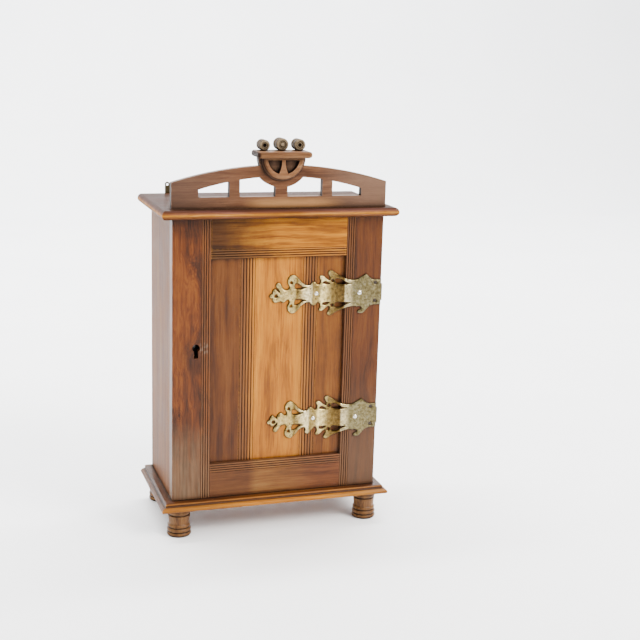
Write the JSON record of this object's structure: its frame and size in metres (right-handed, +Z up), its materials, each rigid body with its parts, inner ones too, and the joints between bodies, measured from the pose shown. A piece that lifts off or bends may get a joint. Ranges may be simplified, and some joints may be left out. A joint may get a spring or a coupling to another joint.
{
  "type": "key cabinet",
  "caption": "Small wooden key cabinet with a reeded frame-and-panel door on ornamental strap hinges, cupboard lock, rows of key hooks, moulded boards, turned feet and a pierced crest.",
  "frame": {"origin": "on the floor under the middle of the whole cabinet", "axes": "+Z up, +X to the right of someone who faces the door, the door faces -Y"},
  "size_m": [0.334, 0.193, 0.5566],
  "materials": {
    "reddish_wood": "worn reddish-brown varnish over straight grain",
    "golden_wood": "worn golden varnish over straight grain",
    "inner_wood": "bare wood, dusty",
    "pale_brass": "pitted, part polished, part tarnished",
    "bright_steel": "lightly worn",
    "dull_steel": "dark and dull"
  },
  "bodies": {
    "cabinet": {"base_board": "reddish_wood", "top_board": "reddish_wood", "left_side": "reddish_wood", "right_side": "reddish_wood", "crest_board": "reddish_wood", "crest_boss": "reddish_wood", "crest_shelf": "reddish_wood", "foot_front_left": "reddish_wood", "foot_front_right": "reddish_wood", "foot_back_left": "reddish_wood", "foot_back_right": "reddish_wood", "back_panel": "inner_wood", "key_rail_lower": "inner_wood", "key_rail_middle": "inner_wood", "key_rail_upper": "inner_wood", "carcass_dowels": "inner_wood", "crest_roller_left": "inner_wood", "crest_roller_middle": "inner_wood", "crest_roller_right": "inner_wood", "hinge_leaf_upper": "pale_brass", "hinge_leaf_lower": "pale_brass", "key_hooks_lower": "pale_brass", "key_hooks_middle": "pale_brass", "key_hooks_upper": "pale_brass", "hinge_pin_upper": "bright_steel", "hinge_pin_lower": "bright_steel", "keeper_plate": "bright_steel", "hanger_left": "dull_steel", "hanger_right": "dull_steel", "carcass_screws": "dull_steel", "crest_screws": "dull_steel", "hanger_screws": "dull_steel", "rail_screws": "dull_steel", "keeper_screws": "dull_steel", "leaf_screws": "dull_steel", "back_pins": "dull_steel", "roller_pins": "dull_steel"},
    "door": {"left_stile": "reddish_wood", "right_stile": "reddish_wood", "top_rail": "golden_wood", "bottom_rail": "reddish_wood", "door_panel": "golden_wood", "strap_screws": "dull_steel", "lock_plate": "dull_steel", "lock_case": "dull_steel", "lock_key_pin": "bright_steel", "lever_post": "bright_steel", "lock_spring": "bright_steel", "lock_screws": "dull_steel", "hinge_strap_upper": "pale_brass", "hinge_strap_lower": "pale_brass", "strap_rivets_upper": "bright_steel", "strap_rivets_lower": "bright_steel"},
    "bolt": {"lock_bolt": "bright_steel"},
    "lever": {"lock_lever": "bright_steel"}
  },
  "joints": [
    {"name": "door_hinge", "type": "hinge", "parent": "cabinet", "child": "door", "pos_m": [0.1529, -0.0585, 0.249], "axis": [0, 0, 1], "range_deg": [0, 170]},
    {"name": "bolt_slide", "type": "slide", "parent": "door", "child": "bolt", "axis": [-1, 0, 0], "range_m": [0, 0.0085]},
    {"name": "lever_pivot", "type": "hinge", "parent": "door", "child": "lever", "pos_m": [-0.104, -0.051, 0.282], "axis": [0, 1, 0], "range_deg": [0, 8], "stiffness_Nm_per_rad": 0.01, "springref_deg": -11.46}
  ]
}
